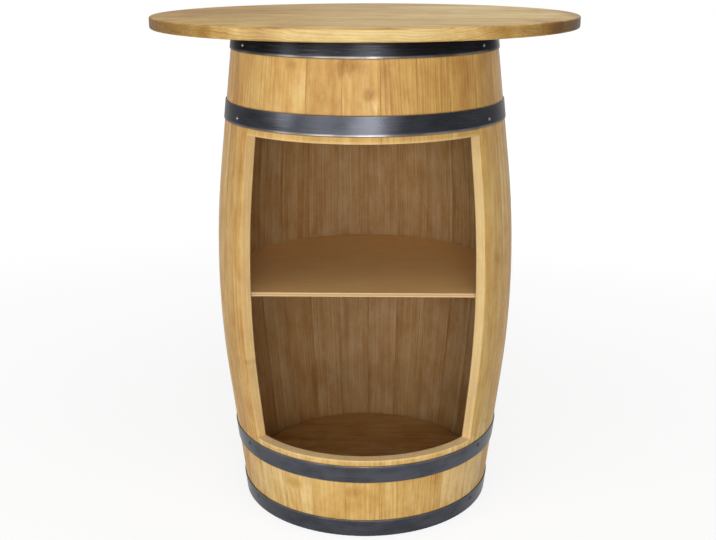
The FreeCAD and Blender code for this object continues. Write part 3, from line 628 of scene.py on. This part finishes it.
# the front board of the table comes first
TABLE_BOARD_LOOKS = (
    dict(heart=(0.02, 0.20), spacing=0.0036, rings=1.9, tone=-0.05, orange=0.0,
         stains=((0.004, 0.195, 0.012, 0.080, 0.28), (0.020, -0.240, 0.010, 0.080, 0.28),
                 (-0.036, 0.080, 0.010, 0.030, 0.25), (-0.030, -0.120, 0.010, 0.050, 0.30))),
    dict(heart=(-0.03, 0.22), spacing=0.0042, rings=1.6, tone=0.04, orange=0.0,
         stains=((-0.025, 0.280, 0.020, 0.030, 0.60),)),
    # on the next three boards, the dark band at the right-hand end is painted shade, and the pale
    # band towards the right is a painted sheen
    dict(heart=(0.03, 0.15), spacing=0.0050, rings=1.2, tone=-0.04, orange=0.0,
         stains=(table_stain_and_painted_light(-0.28, 0.14, 0.32), table_stain_and_painted_light(0.335, 0.020, 0.60),
                 table_stain_and_painted_light(0.20, 0.12, -0.22))),
    dict(heart=(-0.01, 0.12), spacing=0.0055, rings=1.2, tone=0.08, orange=0.05,
         stains=(table_stain_and_painted_light(-0.26, 0.14, 0.32), table_stain_and_painted_light(0.335, 0.020, 0.60),
                 table_stain_and_painted_light(0.20, 0.12, -0.22))),
    dict(heart=(0.02, 0.16), spacing=0.0050, rings=1.2, tone=-0.04, orange=0.0,
         stains=(table_stain_and_painted_light(-0.22, 0.14, 0.30), table_stain_and_painted_light(0.18, 0.12, -0.20),
                 table_stain_and_painted_light(0.0, 0.10, 0.20))),
    dict(heart=(-0.02, 0.14), spacing=0.0055, rings=1.2, tone=0.05, orange=0.0,
         stains=(table_stain_and_painted_light(0.0, 0.14, 0.24),)),
)


def give(name, material):
    """A CAD node's surfaces all take one material."""
    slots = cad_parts[name].material_slots
    for slot in slots:
        slot.material = material


STAVE_EASE = 0.0004
SHELF_EASE = 0.0003
SHARP = math.radians(35)
WELD_REACH = 0.000002


def weld(piece):
    """Joins the faces of a CAD node's solids, so that their shading runs on."""
    piece.modifiers.new("weld", "WELD").merge_threshold = WELD_REACH


def ease(name, width):
    """Eases the sharp edges of a CAD node's solids."""
    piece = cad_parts[name]
    weld(piece)
    bevel = piece.modifiers.new("ease", "BEVEL")
    bevel.width = width
    bevel.segments = 2
    bevel.limit_method = "ANGLE"
    bevel.angle_limit = SHARP
    bevel.use_clamp_overlap = False
    bevel.loop_slide = False
    bevel.harden_normals = True


def smooth(name):
    """Shades a round CAD node evenly across its faces' edges."""
    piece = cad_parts[name]
    weld(piece)
    normals = piece.modifiers.new("smooth", "WEIGHTED_NORMAL")
    normals.mode = "FACE_AREA"
    normals.weight = 50
    normals.keep_sharp = False


def finish_edges():
    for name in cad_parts:
        if "stave" in name:
            ease(name, STAVE_EASE)
        elif name == "shelf":
            ease(name, SHELF_EASE)
        elif name in HOOPS or name in ("hoop_nails", "hoop_rivets"):
            smooth(name)


def dress_staves():
    for number in range(1, FULL_STAVES + 1):
        name = f"stave_{number:02d}"
        cut = Cut(number, **FULL_STAVE_LOOKS.get(number, {}))
        side = {1: -1, FULL_STAVES: 1}.get(number, 0)
        give(name, stave_wood(name, FIRST_FULL + (number - 1) * STAVE_ANGLE, cut, side))
    for number in range(1, CUT_STAVES + 1):
        cut = Cut(SHORT_STAVE_SEED + number, **CUT_STAVE_LOOKS[number])
        azimuth = FIRST_CUT + (number - 1) * STAVE_ANGLE
        for name in (f"upper_short_stave_{number}", f"lower_short_stave_{number}"):
            give(name, stave_wood(name, azimuth, cut, short=True))


def dress_table():
    names = sorted(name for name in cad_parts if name.startswith("table_board"))
    edges = [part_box(name)[0][1] for name in names] + [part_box(names[-1])[1][1]]
    for number, name in enumerate(names):
        low, high = edges[number:number + 2]
        joints = [edge for edge in (low, high) if edge not in (edges[0], edges[-1])]
        cut = Cut(TABLE_SEED + number, **TABLE_BOARD_LOOKS[number])
        give(name, table_wood(name, (low + high) / 2, joints, cut))


def dress_inner_wood():
    for number, name in enumerate(sorted(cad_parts)):
        if "head_board" in name or name == "rear_shelf_cleat":
            axis = 0
        elif name.endswith(("batten", "cleat")) or name == "head_dowels":
            axis = 1
        else:
            continue
        give(name, inner_wood(name, axis, Cut(INNER_SEED + number)))


def dress_steel():
    for number, name in enumerate(sorted(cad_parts)):
        if name in HOOPS:
            give(name, hoop_steel(name, 3 * number, **HOOP_LOOKS[name]))
        elif name in ("hoop_nails", "hoop_rivets", "table_screws", "cleat_screws"):
            give(name, fastener_steel(name, number))


# ---------------------------------------------------------------- stage and light

FLOOR = (0.50, 0.50, 0.50, 1)
FLOOR_SEEN = (0.24, 0.24, 0.24, 1)      # pale enough to keep the shadow
GLOW_NEAR, GLOW_FAR = 0.81, 0.94        # and this makes the rest of it white
GLOW_START, GLOW_END = 0.5, 3.0         # distances from the barrel's axis
FLOOR_REACH = 12
FLOOR_DROP = 0.0005
WORLD_LIGHT = 0.33


def make_stage():
    mesh = bpy.data.meshes.new("floor")
    corners = [(x * FLOOR_REACH, y * FLOOR_REACH, 0)
               for x, y in ((-1, -1), (1, -1), (1, 1), (-1, 1))]
    mesh.from_pydata(corners, [], [(0, 1, 2, 3)])
    floor = bpy.data.objects.new("floor", mesh)
    floor.location.z = -FLOOR_DROP
    bpy.context.scene.collection.objects.link(floor)
    nodes = Nodes("floor")
    path = nodes.add("ShaderNodeLightPath").outputs
    seen = nodes.math("MAXIMUM", path["Is Camera Ray"],
                      nodes.math("MAXIMUM", path["Is Glossy Ray"], path["Is Transmission Ray"]))
    nodes.set(Base_Color=nodes.mix(seen, FLOOR, FLOOR_SEEN), Roughness=0.9)
    nodes.shader.inputs["Specular IOR Level"].default_value = 0
    nodes.shader.inputs["Emission Color"].default_value = WHITE
    away = distance(nodes, *nodes.split(nodes.place())[:2], (0, 0))
    glow = nodes.step(away, GLOW_START, GLOW_END, GLOW_NEAR, GLOW_FAR)
    nodes.set(Emission_Strength=nodes.times(seen, glow))
    mesh.materials.append(nodes.material)


def make_world():
    """White where the camera or a reflection looks at it, and a soft light otherwise."""
    world = bpy.data.worlds.new("studio")
    world.use_nodes = True
    tree = world.node_tree
    tree.nodes.clear()
    path = tree.nodes.new("ShaderNodeLightPath").outputs
    either = tree.nodes.new("ShaderNodeMath")
    either.operation = "MAXIMUM"
    tree.links.new(path["Is Camera Ray"], either.inputs[0])
    tree.links.new(path["Is Glossy Ray"], either.inputs[1])
    strength = tree.nodes.new("ShaderNodeMapRange")
    strength.inputs["To Min"].default_value = WORLD_LIGHT
    strength.inputs["To Max"].default_value = 1.0
    tree.links.new(either.outputs[0], strength.inputs["Value"])
    background = tree.nodes.new("ShaderNodeBackground")
    background.inputs["Color"].default_value = WHITE
    tree.links.new(strength.outputs[0], background.inputs["Strength"])
    output = tree.nodes.new("ShaderNodeOutputWorld")
    tree.links.new(background.outputs[0], output.inputs[0])
    bpy.context.scene.world = world


# what the lamps are aimed at
FOOT, MIDDLE, UPPER_HOOPS = (0, 0, 0.2), (0, 0, 0.42), (0, 0, 0.72)


def make_lamp(name, place, aim, size, power):
    data = bpy.data.lights.new(name, "AREA")
    data.shape = "RECTANGLE"
    data.size, data.size_y = size
    data.energy = power
    lamp = bpy.data.objects.new(name, data)
    lamp.location = place
    lamp.rotation_euler = (Vector(aim) - Vector(place)).to_track_quat("-Z", "Y").to_euler()
    bpy.context.scene.collection.objects.link(lamp)
    return lamp


def make_card(name, place, size, power):
    """A bright card that only shows in what is glossy, for the sheen of the steel."""
    make_lamp(name, place, UPPER_HOOPS, size, power).visible_diffuse = False


make_camera()
make_stage()
make_world()
make_lamp("key", around(3, 2.5, 0.92), MIDDLE, (1.1, 0.45), 25)
make_lamp("low", around(-6, 2.5, 0.20), FOOT, (1.8, 0.35), 8)
make_lamp("fill", around(-34, 2.5, 0.95), MIDDLE, (0.9, 0.5), 6)
make_lamp("left", around(-60, 2.4, 0.95), MIDDLE, (0.45, 0.45), 4)
make_card("middle_card", around(6, 2.5, 0.98), (0.6, 0.7), 16)
make_card("wide_card", around(-27, 2.5, 0.98), (1.5, 0.7), 14)
make_card("left_card", around(-62, 2.4, 0.98), (0.5, 0.6), 9)
make_lamp("top", around(15, 1.0, 3.0), MIDDLE, (1.8, 1.8), 15)
make_lamp("back", around(165, 2.6, 1.0), MIDDLE, (2.0, 1.2), 7)
dress_staves()
dress_table()
dress_inner_wood()
dress_steel()
finish_edges()
give("shelf", shelf_plywood("shelf"))

bpy.context.scene.view_settings.view_transform = "Standard"
